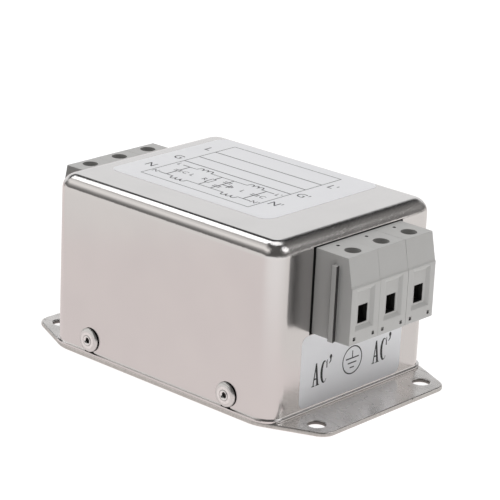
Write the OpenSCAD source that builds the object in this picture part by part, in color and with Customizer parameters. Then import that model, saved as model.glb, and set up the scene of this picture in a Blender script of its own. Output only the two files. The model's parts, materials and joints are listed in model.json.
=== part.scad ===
// Single-phase mains interference filter: a drawn steel can riveted over a flanged
// base plate, with a three-pole clamp terminal block standing out of each end wall.
// Millimetres, +Z up, X along the length, the load terminals at +X and the line ones at -X.
// Origin: the centre of the base plate's underside.

/* [Can] */
// Length of the can over its end walls
can_l = 74; // [72:1:90]
// Width of the can over its long walls
can_w = 57.8; // [56:0.2:70]
// Height of the can above the base plate
can_h = 43.8; // [42:0.2:56]
// Sheet thickness of the can
can_t = 0.5; // [0.4:0.05:0.7]
// Outside radius of the can's upright corners
can_corner_r = 4.8; // [4:0.2:6]
// Outside radius of the can's top edges
can_edge_r = 2.5; // [1.5:0.1:2.6]
// How far the trimmed lip at the can's foot stands out
lip_out = 0.65; // [0.45:0.05:0.9]
// Radius where the can's wall turns out into its lip
lip_bend_r = 0.4; // [0.1:0.05:0.4]

/* [Base plate] */
// Thickness of the base plate
plate_t = 1.2; // [1:0.1:2]
// How far each mounting flange reaches beyond the can's end wall
flange_l = 12; // [10:0.5:16]
// How far the plate's long edges stand out beyond the can's walls
plate_side_out = 0.6; // [0.4:0.1:1.2]
// Width of the flange at its end, measured to the sharp corners
flange_end_w = 44.4; // [42:0.2:50]
// Radius of the flange's tips
flange_tip_r = 4; // [2:0.5:6]
// How far inside the can's end wall the flange's taper starts
taper_set_back = 4.2; // [2:0.2:6]
// Radius where the taper leaves the long edge
taper_start_r = 10; // [4:1:14]
// Diameter of the mounting holes
mount_hole_d = 4.3; // [3.2:0.1:5.2]
// Spacing of the mounting holes across the width
mount_pitch_w = 39; // [34:0.5:39.5]
// Distance of the mounting holes from the flange's end
mount_end_gap = 5.5; // [4:0.1:6]

/* [Side rails and rivets] */
// Thickness of the rails welded along the plate, behind the can's foot
rail_t = 1.2; // [0.8:0.1:1.6]
// How far each rail runs on past its rivets
rail_past = 5.8; // [4:0.2:6]
// How far each rail stands up past the bulges of its rivets
rail_over = 2.1; // [1:0.1:2.4]
// Width of the rail's foot
rail_foot_w = 5.6; // [5:0.1:5.8]
// Spacing of the two rivets in each long wall
rivet_pitch = 46.4; // [40:0.2:48]
// Gap between the rivets' heads and the can's lip
rivet_lip_gap = 0.05; // [0.02:0.01:0.5]
// Diameter of the rivet's head
rivet_head_d = 6.2; // [5.6:0.1:6.4]
// Height of the rivet's domed head
rivet_head_h = 1.15; // [0.9:0.05:1.5]
// Height of the undercut round the head's rim, clear of the can's lip
rivet_rim_h = 0.35; // [0.3:0.05:0.5]
// Diameter of the rivet's shank
rivet_d = 3.2; // [3:0.1:4]
// Diameter of the bulge behind the rail
rivet_bulge_d = 4.8; // [4.4:0.1:5.2]
// Length of the bulge behind the rail
rivet_bulge_l = 2.2; // [1.6:0.1:3]
// Diameter of the mandrel's stem, left broken off inside
mandrel_d = 1.8; // [1.5:0.1:2]
// Depth of the broken stem below the dome
mandrel_sunk = 0.8; // [0.4:0.1:1.2]
// Height of the mandrel's head behind the bulge
mandrel_head_h = 0.9; // [0.6:0.1:1.1]

/* [Terminal blocks] */
// Spacing of the poles, one moulded housing each
pole_pitch = 10.3; // [10:0.1:11.4]
// Height of the terminal block
block_h = 21.1; // [21.1:0.1:24]
// How far the block's top lies below the can's top
block_drop = 3; // [2.9:0.1:4]
// How far the block's lower front stands out of the can's wall
block_out = 11.4; // [11.4:0.1:13]
// How far the brow above the wire entries stands out
brow_out = 11.05; // [10.9:0.05:11.2]
// How far the block's top edge stands out
block_top_out = 9.75; // [9.6:0.05:10.6]
// Height of the sloping brow, down from the block's top
brow_h = 6.8; // [6:0.1:7]
// Height of the small step under the brow
brow_step_h = 0.4; // [0.2:0.1:0.8]
// Gap between the block and the sides of the can's opening
opening_gap = 0.85; // [0.4:0.05:1.1]
// Gap between the block and the opening above and below
opening_gap_v = 0.3; // [0.1:0.05:0.4]
// Thickness of the shoulder that holds each housing behind the wall
shoulder_t = 1.5; // [1:0.1:2]
// How far the shoulder stands down past the housing
shoulder_out = 0.9; // [0.5:0.1:1]
// Width of the wire entry
entry_w = 3.35; // [3:0.05:3.6]
// Height of the wire entry
entry_h = 4.4; // [4:0.1:4.6]
// Height of the wire entry above the block's underside
entry_rise = 4.6; // [4.4:0.1:5]
// Width of the dished panel round the entry, at the face
dish_w = 6.6; // [6:0.1:7.4]
// Height of the dished panel, at the face
dish_h = 10.2; // [9:0.1:10.4]
// Depth of the dished panel
dish_depth = 0.7; // [0.4:0.05:0.8]
// How far the panel's edges slope in on each side
dish_slope = 0.9; // [0.5:0.1:1]
// Height of the flat ledge between the wire entry and the panel's sloping edge
dish_sill = 0.5; // [0.1:0.1:0.8]
// Side of the small square holes below the entries
peg_hole = 0.9; // [0.6:0.1:1.1]
// Spacing of each pole's two square holes
peg_pitch = 6.8; // [6.4:0.1:7.2]
// Height of the square holes above the block's underside
peg_rise = 1.4; // [1.2:0.1:1.6]
// Depth of the square holes
peg_depth = 2; // [1:0.1:3]
// Diameter of the round probe hole behind each screw
probe_d = 0.9; // [0.6:0.1:1.2]
// Depth of the probe hole
probe_depth = 3; // [2:0.2:3.4]
// Distance of the probe holes from the wall
probe_out = 2.15; // [1.8:0.05:2.4]
// Width of the dovetail rib at its root
rib_root_w = 1; // [0.8:0.1:1.2]
// Width of the dovetail rib at its outer face
rib_face_w = 1.7; // [1.5:0.1:1.9]
// How far the dovetail rib stands out
rib_out = 1.2; // [0.8:0.1:1.2]
// Length of the dovetail rib, up from the block's underside
rib_h = 18.7; // [16:0.1:19]

/* [Clamps] */
// Distance of the clamp screws from the can's wall
screw_out = 6.6; // [6.55:0.01:6.65]
// Diameter of the screw's head
screw_head_d = 3.9; // [3.6:0.05:4]
// Height of the screw's head
screw_head_h = 2; // [1.6:0.1:2.2]
// Outside diameter of the screw's thread
screw_d = 3; // [2.6:0.1:3]
// Lead of the screw's thread
screw_lead = 0.5; // [0.4:0.05:0.5]
// Turns that raise the cage to its stop
screw_turns = 8; // [4:1:8]
// Room left above the cage at its stop
cage_room = 0.5; // [0.3:0.1:0.8]
// How far the wire's way through the cage and under the bar clears the wire entry
entry_clear = 0.2; // [0.1:0.05:0.3]
// Width of the slot across the screw's head
slot_w = 0.8; // [0.5:0.1:1]
// Depth of the slot
slot_depth = 1.1; // [0.6:0.1:1.3]
// Thickness of the ledge under the screw's head
ledge_t = 0.6; // [0.5:0.05:0.8]
// Length of the rising cage, along the wire
cage_l = 5; // [4.6:0.1:5]
// Width of the rising cage
cage_w = 5.4; // [5.2:0.1:5.4]
// Thickness of the cage's side walls
cage_side_t = 0.8; // [0.6:0.05:0.8]
// Thickness of the cage's floor
cage_floor_t = 1; // [0.8:0.1:1]
// Thickness of the cage's threaded top
cage_top_t = 1.8; // [1.4:0.1:1.8]
// Thickness of the current bar
bar_t = 1; // [0.8:0.1:1]
// Width of the current bar inside the cage
bar_neck_w = 3.6; // [3:0.1:3.6]
// Width of the current bar behind the cage
bar_w = 7.2; // [6.6:0.1:7.4]
// How far the bar's tip reaches into the housing's front wall
bar_tip_in = 0.75; // [0.4:0.05:0.8]
// Thickness of the tab, bent down from the bar, that stops the wire behind the cage
stop_t = 0.8; // [0.6:0.1:1]
// How far the bar reaches inside the can, from the wall's outer face
bar_in = 7; // [5:0.1:7]
// Width of the bar's tail down to the circuit board
tail_w = 2.4; // [1.8:0.1:3]
// Width of the solder pin at the tail's end
tail_pin_w = 1.2; // [1:0.1:1.4]

/* [Fits] */
// Radial clearance of the screw's thread in the cage
thread_clearance = 0.03; // [0.02:0.01:0.08]
// Radial clearance of the screw's head in its bore
head_clearance = 0.05; // [0.03:0.01:0.09]
// Radial clearance of the screw's thread in the ledge
ledge_clearance = 0.15; // [0.1:0.05:0.3]
// Clearance round the cage in its shaft
cage_clearance = 0.1; // [0.05:0.01:0.15]
// Clearance between the bar and the cage, and between parts that slide over it
bar_clearance = 0.3; // [0.2:0.05:0.3]
// Clearance round the bar in its slots
slot_clearance = 0.05; // [0.03:0.01:0.08]
// Gap between neighbouring housings
housing_gap = 0.05; // [0.02:0.01:0.1]
// Clearance round a dovetail rib in its groove
rib_clearance = 0.1; // [0.05:0.01:0.15]
// Lift that keeps seated pieces just clear of each other
seat_gap = 0.05; // [0.03:0.01:0.08]
// Radial clearance of pins in the circuit board
pin_clearance = 0.15; // [0.1:0.05:0.2]

/* [Circuit board] */
// Gap between the circuit board's bay and the can's end walls
board_end_gap = 3.5; // [2:0.1:4]
// Gap between the circuit board's bay and the can's long walls
board_side_gap = 5.9; // [5.8:0.1:6.4]
// Thickness of the circuit board
board_t = 1.6; // [1:0.1:2]
// Height of the board's pillars above the plate
pillar_h = 6.4; // [5.6:0.1:8]
// Diameter of the pillars
pillar_d = 5.5; // [5:0.1:6]
// Diameter of the pillars' studs, swaged into the plate
pillar_stud_d = 3.9; // [3.5:0.1:4.4]
// Distance of the pillars from the edges of the board's bay
pillar_inset = 4.2; // [4:0.1:4.6]
// Diameter of the board's screws
board_screw_d = 2.9; // [2.5:0.1:3]
// Length of the board's screws under the head
board_screw_l = 5.5; // [4:0.5:6]
// Diameter of the board screws' pan heads
board_head_d = 5.4; // [5:0.1:5.6]
// Height of the board screws' pan heads
board_head_h = 1.8; // [1.4:0.1:2.2]
// Thickness of the insulating sheet on the plate
sheet_t = 0.4; // [0.2:0.05:0.6]
// Gap between the insulating sheet and what it lies between
sheet_gap = 0.5; // [0.2:0.1:1]
// How far every solder pin stands out below the board
pin_below = 1.2; // [0.8:0.1:1.6]

/* [Chokes] */
// Outside diameter of the ring cores
core_od = 22; // [20:0.5:22]
// Bore of the ring cores
core_id = 12; // [11:0.5:12]
// Height of the ring cores
core_h = 15; // [12:0.5:18]
// Gap between the two chokes
choke_gap = 2.6; // [1:0.2:3]
// Diameter of the winding wire
wire_d = 1.3; // [1.1:0.1:1.3]
// Thickness of the wire's enamel, stripped off its leads
enamel_t = 0.05; // [0.03:0.01:0.1]
// Turns in each winding
coil_turns = 10; // [8:1:10]
// Gap between neighbouring turns, in the middle of their legs in the core's bore
turn_gap = 0.1; // [0.05:0.05:0.2]
// Gap between the winding and its core
coil_gap = 0.1; // [0.05:0.05:0.15]

/* [Capacitors and resistor] */
// Length of the mains capacitors' boxes
x_cap_l = 21; // [18:0.5:22]
// Width of the mains capacitors' boxes
x_cap_w = 7.6; // [6:0.2:7.6]
// Height of the mains capacitors' boxes
x_cap_h = 15; // [12:0.5:18]
// Spacing of a mains capacitor's pins
x_cap_pitch = 15; // [12.5:0.5:17.5]
// Gap between neighbouring mains capacitors
x_cap_gap = 5.8; // [3:0.2:6]
// Distance of the board's long edges from the mains capacitors
x_cap_edge = 0.9; // [0.6:0.1:1]
// Gap between the mains capacitors and the windings
x_cap_choke_gap = 1.6; // [0.6:0.2:2.4]
// Diameter of the earth capacitors' discs
y_cap_d = 6.4; // [5:0.2:6.6]
// Thickness of the earth capacitors' discs
y_cap_t = 3.4; // [2.6:0.2:4]
// Spacing of an earth capacitor's pins
y_cap_pitch = 4; // [3:0.5:4.5]
// Distance of the board's ends from the middle of the earth capacitors
y_cap_edge = 3.6; // [3.4:0.1:3.8]
// Gap between the earth capacitors and the windings
y_cap_choke_gap = 0.1; // [0.1:0.1:1]
// Diameter of the bleed resistor
resistor_d = 3.6; // [2.4:0.2:4]
// Length of the bleed resistor's body
resistor_l = 11; // [8:0.5:12]
// Spacing of the resistor's pins
resistor_pitch = 16; // [14:0.5:18]
// Diameter of the capacitors' and the resistor's pins
pin_d = 0.8; // [0.6:0.05:1]

/* [Labels] */
// Thickness of the labels
label_t = 0.1; // [0.05:0.01:0.15]
// Distance of the top label from the can's line end
top_label_line_gap = 6; // [4:0.1:14]
// Distance of the top label from the can's load end
top_label_load_gap = 14.8; // [4:0.1:16]
// Distance of the top label from the can's -Y wall
top_label_front_gap = 12.6; // [4:0.1:14]
// Distance of the top label from the can's +Y wall
top_label_back_gap = 3.2; // [3:0.1:14]
// Corner radius of the top label
top_label_r = 3; // [1:0.2:5]
// Width of the end labels
end_label_w = 37.4; // [30:0.2:40]
// Height of the end labels' foot above the plate
end_label_rise = 1; // [1:0.1:2]
// Gap between the end labels and the terminal blocks
end_label_gap = 0.5; // [0.4:0.1:1]
// Corner radius of the end labels
end_label_r = 2; // [0.5:0.1:3]

/* [Hidden] */
$fn = 48;
cut = 1;                                  // how far cuts run past the faces they open
arc_steps = 10;                           // chords in each rounded corner of an outline
poles = ["n", "g", "l"];                  // neutral, earth, live, from -Y to +Y
ends = ["line", "load"];
sides = ["n", "l"];                       // the two windings and lines of the filter

can_top = plate_t + can_h;
wall_x = can_l / 2;
wall_y = can_w / 2;
plate_l = can_l + 2 * flange_l;
plate_w = can_w + 2 * plate_side_out;

block_top = can_top - block_drop;
block_foot = block_top - block_h;
brow_z = block_top - brow_h;
housing_w = pole_pitch - housing_gap;
block_w = len(poles) * pole_pitch;
opening_w = block_w + 2 * opening_gap;
shoulder_x = -can_t - seat_gap - shoulder_t;
shoulder_foot = block_foot - shoulder_out;
shoulder_top = can_top - can_edge_r;      // where the can's end wall starts to round over
entry_z = block_foot + entry_rise;
dish_z = entry_z - dish_sill - dish_slope;
bar_z = entry_z + entry_h + entry_clear;
cage_foot = entry_z - entry_clear - cage_floor_t;
cage_top = bar_z + bar_t + bar_clearance + cage_top_t;
cage_travel = screw_lead * screw_turns;
ceiling_z = cage_top + cage_travel + cage_room;
seat_z = ceiling_z + ledge_t;
shaft_front = screw_out + cage_l / 2 + 2 * cage_clearance;
shaft_back = screw_out - cage_l / 2 - 2 * cage_clearance;
shaft_w = cage_w + 2 * cage_clearance;
shaft_foot = cage_foot - 2 * cage_clearance;
bar_tip = shaft_front + bar_tip_in;
stop_x = shaft_back - slot_clearance - stop_t;

bay_l = can_l - 2 * (can_t + board_end_gap);      // the can's room for the board and its pillars
bay_w = can_w - 2 * (can_t + board_side_gap);
board_z = plate_t + pillar_h;
board_top = board_z + board_t;
pin_foot = board_z - pin_below;
pillar_pitch_l = bay_l - 2 * pillar_inset;
pillar_pitch_w = bay_w - 2 * pillar_inset;
rivet_z = plate_t + can_t + rivet_lip_gap + rivet_head_d / 2;
rivet_hole_d = rivet_d + 2 * seat_gap;
grip = can_t + rail_t;                    // what the rivets clamp together
tail_x = wall_x - bar_in + bar_t / 2;

coil_in = core_id / 2 - coil_gap;         // where the turns lie, inside and outside the ring
coil_out = core_od / 2 + coil_gap;
coil_leg_r = coil_out + wire_d / 2;
coil_reach = coil_out + wire_d;
coil_bore_r = coil_in - wire_d / 2;
coil_step = 2 * asin((wire_d + turn_gap) / 2 / coil_bore_r);
lead_d = wire_d - 2 * enamel_t;
coil_foot = board_top + seat_gap;
core_z = coil_foot + wire_d + coil_gap;
choke_x = coil_reach + choke_gap / 2;
x_cap_x = (x_cap_l + x_cap_gap) / 2;
x_cap_y = coil_reach + x_cap_choke_gap + x_cap_w / 2;
y_cap_x = choke_x + coil_reach + y_cap_choke_gap + y_cap_d / 2;
y_cap_y = pole_pitch / 2;
board_l = 2 * (y_cap_x + y_cap_edge);
board_w = 2 * (x_cap_y + x_cap_w / 2 + x_cap_edge);
resistor_z = board_top + resistor_d / 2 + seat_gap;

// --- Places -------------------------------------------------------------------

// Where a solder pin goes through the board: [x, y, diameter]
function coil_lead(end, side, last) =
    let (a = 90 * side + (last ? 1 : -1) * coil_step * (coil_turns - 1) / 2)
    [end * choke_x + coil_leg_r * cos(a), coil_leg_r * sin(a), lead_d];

coil_leads = [for (end = [-1, 1], side = [-1, 1], last = [false, true]) coil_lead(end, side, last)];
tail_pins = [for (end = [-1, 1], k = [-1:1]) [end * tail_x, k * pole_pitch, norm([tail_pin_w, bar_t])]];
x_caps = [[-x_cap_x, x_cap_y], [x_cap_x, x_cap_y], [-x_cap_x, -x_cap_y]];
x_cap_pins = [for (c = x_caps, s = [-0.5, 0.5]) [c.x + s * x_cap_pitch, c.y, pin_d]];
resistor_at = [x_cap_x, -x_cap_y];
resistor_pins = [for (s = [-0.5, 0.5]) [resistor_at.x + s * resistor_pitch, resistor_at.y, pin_d]];
y_cap_pins = [for (end = [-1, 1], side = [-1, 1], s = [-0.5, 0.5])
    [end * y_cap_x + s * y_cap_pitch, side * y_cap_y, pin_d]];
board_pins = concat(coil_leads, tail_pins, x_cap_pins, resistor_pins, y_cap_pins);

// Stands a piece at one pole: its X points out of the can's end wall
module at_pole(end, k) {
    rotate([0, 0, end > 0 ? 0 : 180]) translate([wall_x, end * (k - 1) * pole_pitch, 0]) children();
}

// The four mounting-pattern corners of a rectangle
module at_corners(l, w) {
    for (x = [-l / 2, l / 2], y = [-w / 2, w / 2]) translate([x, y, 0]) children();
}

// Stands a piece on each rivet's axis: its Z points out of the can's long wall
module at_rivets() {
    for (side = [-1, 1], x = [-rivet_pitch / 2, rivet_pitch / 2])
        translate([x, side * wall_y, rivet_z]) rotate([-90 * side, 0, 0]) children();
}

// --- Outlines -----------------------------------------------------------------

// Chords of an arc round c, from angle a to angle b
function arc(c, r, a, b) = [for (i = [0:arc_steps]) c + r * [cos(a + (b - a) * i / arc_steps),
                                                            sin(a + (b - a) * i / arc_steps)]];

// The arc that rounds corner p of an outline that runs anticlockwise from q to s
function rounded_corner(q, p, s, r) =
    let (u = (q - p) / norm(q - p), v = (s - p) / norm(s - p), half = acos(u * v) / 2,
         c = p + (u + v) / norm(u + v) * r / sin(half), a = atan2(u.y, u.x) + 90, turn = 180 - 2 * half)
    arc(c, r, a, a + turn);

function rounded_outline(pts, radii) =
    let (n = len(pts))
    [for (i = [0:n - 1]) each rounded_corner(pts[(i + n - 1) % n], pts[i], pts[(i + 1) % n], radii[i])];

module rounded_rect(l, w, r) {
    corners = [[-l / 2, -w / 2], [l / 2, -w / 2], [l / 2, w / 2], [-l / 2, w / 2]];
    polygon(rounded_outline(corners, [r, r, r, r]));
}

// A profile drawn in X and Z, run along Y and centred there
module run_along_y(w) {
    rotate([90, 0, 0]) linear_extrude(w, center = true) children();
}

// Sweeps a half section, drawn outwards from the corner's axis, round an l by w block
module sweep_round(l, w, r) {
    for (end = [0, 180]) rotate([0, 0, end]) {
        translate([l / 2 - r, 0, 0]) run_along_y(w - 2 * r) children();
        rotate([0, 0, 90]) translate([w / 2 - r, 0, 0]) run_along_y(l - 2 * r) children();
        translate([l / 2 - r, w / 2 - r, 0]) rotate_extrude(angle = 90) children();
        translate([l / 2 - r, r - w / 2, 0]) rotate([0, 0, -90]) rotate_extrude(angle = 90) children();
    }
}

// A block on z = 0 with upright corners of radius r and top edges of radius e
module soft_block(l, w, h, r, e) {
    translate([r - l / 2, r - w / 2, 0]) cube([l - 2 * r, w - 2 * r, h]);
    sweep_round(l, w, r) {
        union() {
            square([r, h - e]);
            square([r - e, h]);
            intersection() {
                translate([r - e, h - e]) circle(e);
                translate([r - e, h - e]) square(e);
            }
        }
    }
}

// --- Case ---------------------------------------------------------------------

module base_plate() {
    x1 = wall_x - taper_set_back;
    x2 = plate_l / 2;
    y1 = plate_w / 2;
    y2 = flange_end_w / 2;
    outline = [[x1, -y1], [x2, -y2], [x2, y2], [x1, y1], [-x1, y1], [-x2, y2], [-x2, -y2], [-x1, -y1]];
    radii = [for (i = [0:1], r = [taper_start_r, flange_tip_r, flange_tip_r, taper_start_r]) r];
    color("lightgray") difference() {
        linear_extrude(plate_t) polygon(rounded_outline(outline, radii));
        at_corners(plate_l - 2 * mount_end_gap, mount_pitch_w)
            translate([0, 0, -cut]) cylinder(d = mount_hole_d, h = plate_t + 2 * cut);
        at_corners(pillar_pitch_l, pillar_pitch_w)
            translate([0, 0, -cut]) cylinder(d = pillar_stud_d, h = plate_t + 2 * cut);
    }
}

// Rail whose foot lies on the plate and whose upright leg lies behind the can's wall
module side_rail(side) {
    rail_l = rivet_pitch + 2 * rail_past;
    rail_h = rivet_z + rivet_bulge_d / 2 + rail_over - plate_t;
    color("silver") difference() {
        translate([-rail_l / 2, side * (wall_y - can_t), plate_t]) mirror([0, side > 0 ? 1 : 0, 0]) {
            cube([rail_l, rail_t, rail_h]);
            cube([rail_l, rail_foot_w, rail_t]);
        }
        at_rivets() cylinder(d = rivet_hole_d, h = 4 * grip, center = true);
    }
}

module cover_can() {
    color("gainsboro") translate([0, 0, plate_t]) difference() {
        union() {
            soft_block(can_l, can_w, can_h, can_corner_r, can_edge_r);
            sweep_round(can_l, can_w, can_corner_r) foot_section();
        }
        translate([0, 0, -cut])
            soft_block(can_l - 2 * can_t, can_w - 2 * can_t, can_h + cut - can_t, can_corner_r - can_t,
                       can_edge_r - can_t);
        for (end = [0, 180]) rotate([0, 0, end])
            translate([wall_x - can_corner_r, -opening_w / 2, block_foot - opening_gap_v - plate_t])
                cube([can_corner_r + cut, opening_w, block_h + 2 * opening_gap_v]);
        translate([0, 0, -plate_t]) at_rivets() cylinder(d = rivet_hole_d, h = 4 * grip, center = true);
    }
}

// Section of the can's lip: the wall turns out through a small bend
module foot_section() {
    square([can_corner_r + lip_out, can_t]);
    difference() {
        square([can_corner_r + lip_bend_r, can_t + lip_bend_r]);
        translate([can_corner_r + lip_bend_r, can_t + lip_bend_r]) circle(lip_bend_r);
    }
}

// Blind rivets, each pulled up behind its rail: Z runs out of the wall, from its outer face
module rivet_bodies() {
    rim_r = rivet_head_d / 2;
    dome_h = rivet_head_h - rivet_rim_h;
    dome_r = (pow(rim_r, 2) + pow(dome_h, 2)) / (2 * dome_h);
    dome_c = rivet_head_h - dome_r;
    dome_a = asin(rim_r / dome_r);
    color("whitesmoke") at_rivets() difference() {
        union() {
            rotate_extrude() polygon(concat(
                [[0, 0], [rim_r - rivet_rim_h, 0]],
                [for (i = [0:arc_steps]) let (a = dome_a * (1 - i / arc_steps))
                    [dome_r * sin(a), dome_c + dome_r * cos(a)]]));
            translate([0, 0, -grip]) cylinder(d = rivet_d, h = grip);
            translate([0, 0, -grip - rivet_bulge_l]) cylinder(d = rivet_bulge_d, h = rivet_bulge_l);
        }
        translate([0, 0, -grip - rivet_bulge_l - cut])
            cylinder(d = mandrel_d + 2 * seat_gap, h = grip + rivet_bulge_l + rivet_head_h + 2 * cut);
    }
}

module rivet_mandrels() {
    foot = -grip - rivet_bulge_l - seat_gap;
    color("dimgray") at_rivets() {
        translate([0, 0, foot]) cylinder(d = mandrel_d, h = rivet_head_h - mandrel_sunk - foot);
        translate([0, 0, foot - mandrel_head_h]) cylinder(d = rivet_d, h = mandrel_head_h);
    }
}

// --- Terminal blocks, drawn at one pole, X out of the end wall ------------------

module housing() {
    color("darkgray") difference() {
        union() {
            run_along_y(housing_w) polygon([
                [shoulder_x, block_foot], [block_out, block_foot], [block_out, brow_z - brow_step_h],
                [brow_out, brow_z], [block_top_out, block_top], [shoulder_x, block_top]]);
            translate([shoulder_x, -housing_w / 2, shoulder_foot])
                cube([shoulder_t, housing_w, shoulder_top - shoulder_foot]);
            translate([screw_out, -housing_w / 2, block_foot]) linear_extrude(rib_h) dovetail(0);
        }
        translate([screw_out, housing_w / 2 + housing_gap, block_foot - cut])
            linear_extrude(rib_h + cut + rib_clearance) dovetail(rib_clearance);
        clamp_shaft();
        wire_entry();
        translate([probe_out, 0, block_top - probe_depth]) cylinder(d = probe_d, h = probe_depth + cut);
        for (y = [-peg_pitch / 2, peg_pitch / 2])
            translate([block_out - peg_depth, y - peg_hole / 2, block_foot + peg_rise - peg_hole / 2])
                cube([peg_depth + cut, peg_hole, peg_hole]);
    }
}

// Section of the rib that hooks into the next housing, or of its groove, c wider all round
module dovetail(c) {
    root = rib_root_w / 2 + c;
    face = rib_face_w / 2 + c;
    out = rib_out + c;
    polygon([[-root, cut / 2], [-root, 0], [-face, -out], [face, -out], [root, 0], [root, cut / 2]]);
}

// Bore for the screw, shaft for the cage, and the way in for the bar from inside the can
module clamp_shaft() {
    bar_slot_w = bar_w + 2 * slot_clearance;
    bar_slot_h = bar_t + 2 * slot_clearance;
    back = shoulder_x - cut;
    translate([screw_out, 0, seat_z]) cylinder(d = screw_head_d + 2 * head_clearance, h = block_h);
    translate([screw_out, 0, ceiling_z - cut])
        cylinder(d = screw_d + 2 * ledge_clearance, h = ledge_t + 2 * cut);
    translate([shaft_back, -shaft_w / 2, shaft_foot])
        cube([shaft_front - shaft_back, shaft_w, ceiling_z - shaft_foot]);
    translate([back, -shaft_w / 2, shaft_foot])
        cube([shaft_front - back, shaft_w, cage_top + 2 * cage_clearance - shaft_foot]);
    translate([back, -bar_slot_w / 2, bar_z - slot_clearance])
        cube([shaft_back - back, bar_slot_w, bar_slot_h]);
    translate([screw_out, -bar_neck_w / 2 - slot_clearance, bar_z - slot_clearance])
        cube([bar_tip + slot_clearance - screw_out, bar_neck_w + 2 * slot_clearance, bar_slot_h]);
}

// Wire entry in the middle of a shallow panel whose edges slope in
module wire_entry() {
    floor_x = block_out - dish_depth;
    half = dish_w / 2;
    translate([screw_out, -entry_w / 2, entry_z]) cube([block_out - screw_out + cut, entry_w, entry_h]);
    intersection() {
        translate([0, 0, dish_z - cut]) linear_extrude(dish_h + 2 * cut) polygon([
            [floor_x, dish_slope - half], [block_out, -half], [block_out + cut, -half],
            [block_out + cut, half], [block_out, half], [floor_x, half - dish_slope]]);
        run_along_y(dish_w + cut) polygon([
            [floor_x, dish_z + dish_slope], [block_out, dish_z], [block_out + cut, dish_z],
            [block_out + cut, dish_z + dish_h], [block_out, dish_z + dish_h],
            [floor_x, dish_z + dish_h - dish_slope]]);
    }
}

// Current bar with a tab behind the cage, and its tail down to the circuit board
module bar() {
    stop_w = shaft_w - 2 * slot_clearance;
    stop_foot = shaft_foot + slot_clearance;
    color("goldenrod") {
        translate([-bar_in, -bar_w / 2, bar_z]) cube([bar_in + stop_x + stop_t, bar_w, bar_t]);
        translate([stop_x, -bar_neck_w / 2, bar_z]) cube([bar_tip - stop_x, bar_neck_w, bar_t]);
        translate([stop_x, -stop_w / 2, stop_foot]) cube([stop_t, stop_w, bar_z + bar_t - stop_foot]);
        translate([-bar_in, -tail_w / 2, board_top]) cube([bar_t, tail_w, bar_z + bar_t - board_top]);
        translate([-bar_in, -tail_pin_w / 2, pin_foot]) cube([bar_t, tail_pin_w, bar_z - pin_foot]);
    }
}

// Rising cage that the screw draws up against the wire
module cage() {
    color("burlywood") difference() {
        translate([screw_out - cage_l / 2, -cage_w / 2, cage_foot])
            cube([cage_l, cage_w, cage_top - cage_foot]);
        translate([screw_out - cage_l, cage_side_t - cage_w / 2, cage_foot + cage_floor_t])
            cube([2 * cage_l, cage_w - 2 * cage_side_t, cage_top - cage_top_t - cage_foot - cage_floor_t]);
        translate([screw_out, 0, cage_top - cage_top_t - cut])
            cylinder(d = screw_d + 2 * thread_clearance, h = cage_top_t + 2 * cut);
    }
}

module clamp_screw() {
    head_z = seat_z + seat_gap;
    foot_z = bar_z + bar_t + seat_gap;
    color("silver") translate([screw_out, 0, 0]) difference() {
        union() {
            translate([0, 0, foot_z]) cylinder(d = screw_d, h = head_z - foot_z);
            translate([0, 0, head_z]) cylinder(d = screw_head_d, h = screw_head_h);
        }
        translate([-slot_w / 2, -screw_head_d, head_z + screw_head_h - slot_depth])
            cube([slot_w, 2 * screw_head_d, slot_depth + cut]);
    }
}

// --- Inside the can -------------------------------------------------------------

module insulating_sheet() {
    sheet_w = can_w - 2 * (can_t + rail_foot_w + sheet_gap);
    color("tan") translate([0, 0, plate_t]) difference() {
        translate([-bay_l / 2, -sheet_w / 2, 0]) cube([bay_l, sheet_w, sheet_t]);
        at_corners(pillar_pitch_l, pillar_pitch_w)
            translate([0, 0, -cut]) cylinder(d = pillar_d + 2 * sheet_gap, h = sheet_t + 2 * cut);
    }
}

// Pillars swaged into the plate, flush underneath
module board_pillars() {
    color("gold") at_corners(pillar_pitch_l, pillar_pitch_w) difference() {
        union() {
            cylinder(d = pillar_stud_d, h = plate_t);
            translate([0, 0, plate_t]) cylinder(d = pillar_d, h = pillar_h);
        }
        translate([0, 0, board_top - board_screw_l - 2 * seat_gap])
            cylinder(d = board_screw_d + 2 * seat_gap, h = board_screw_l + cut);
    }
}

module board_screws() {
    color("silver") at_corners(pillar_pitch_l, pillar_pitch_w) difference() {
        union() {
            translate([0, 0, board_top - board_screw_l]) cylinder(d = board_screw_d, h = board_screw_l);
            translate([0, 0, board_top]) cylinder(d = board_head_d, h = board_head_h);
        }
        translate([-slot_w / 2, -board_head_d, board_top + board_head_h - slot_depth])
            cube([slot_w, 2 * board_head_d, slot_depth + cut]);
    }
}

module circuit_board() {
    color("seagreen") difference() {
        translate([-board_l / 2, -board_w / 2, board_z]) cube([board_l, board_w, board_t]);
        at_corners(pillar_pitch_l, pillar_pitch_w)
            translate([0, 0, board_z - cut])
                cylinder(d = board_screw_d + 2 * pin_clearance, h = board_t + 2 * cut);
        for (p = board_pins)
            translate([p.x, p.y, board_z - cut]) cylinder(d = p.z + 2 * pin_clearance, h = board_t + 2 * cut);
    }
}

module choke_core(end) {
    color("dimgray") translate([end * choke_x, 0, core_z]) difference() {
        cylinder(d = core_od, h = core_h);
        translate([0, 0, -cut]) cylinder(d = core_id, h = core_h + 2 * cut);
    }
}

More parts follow.
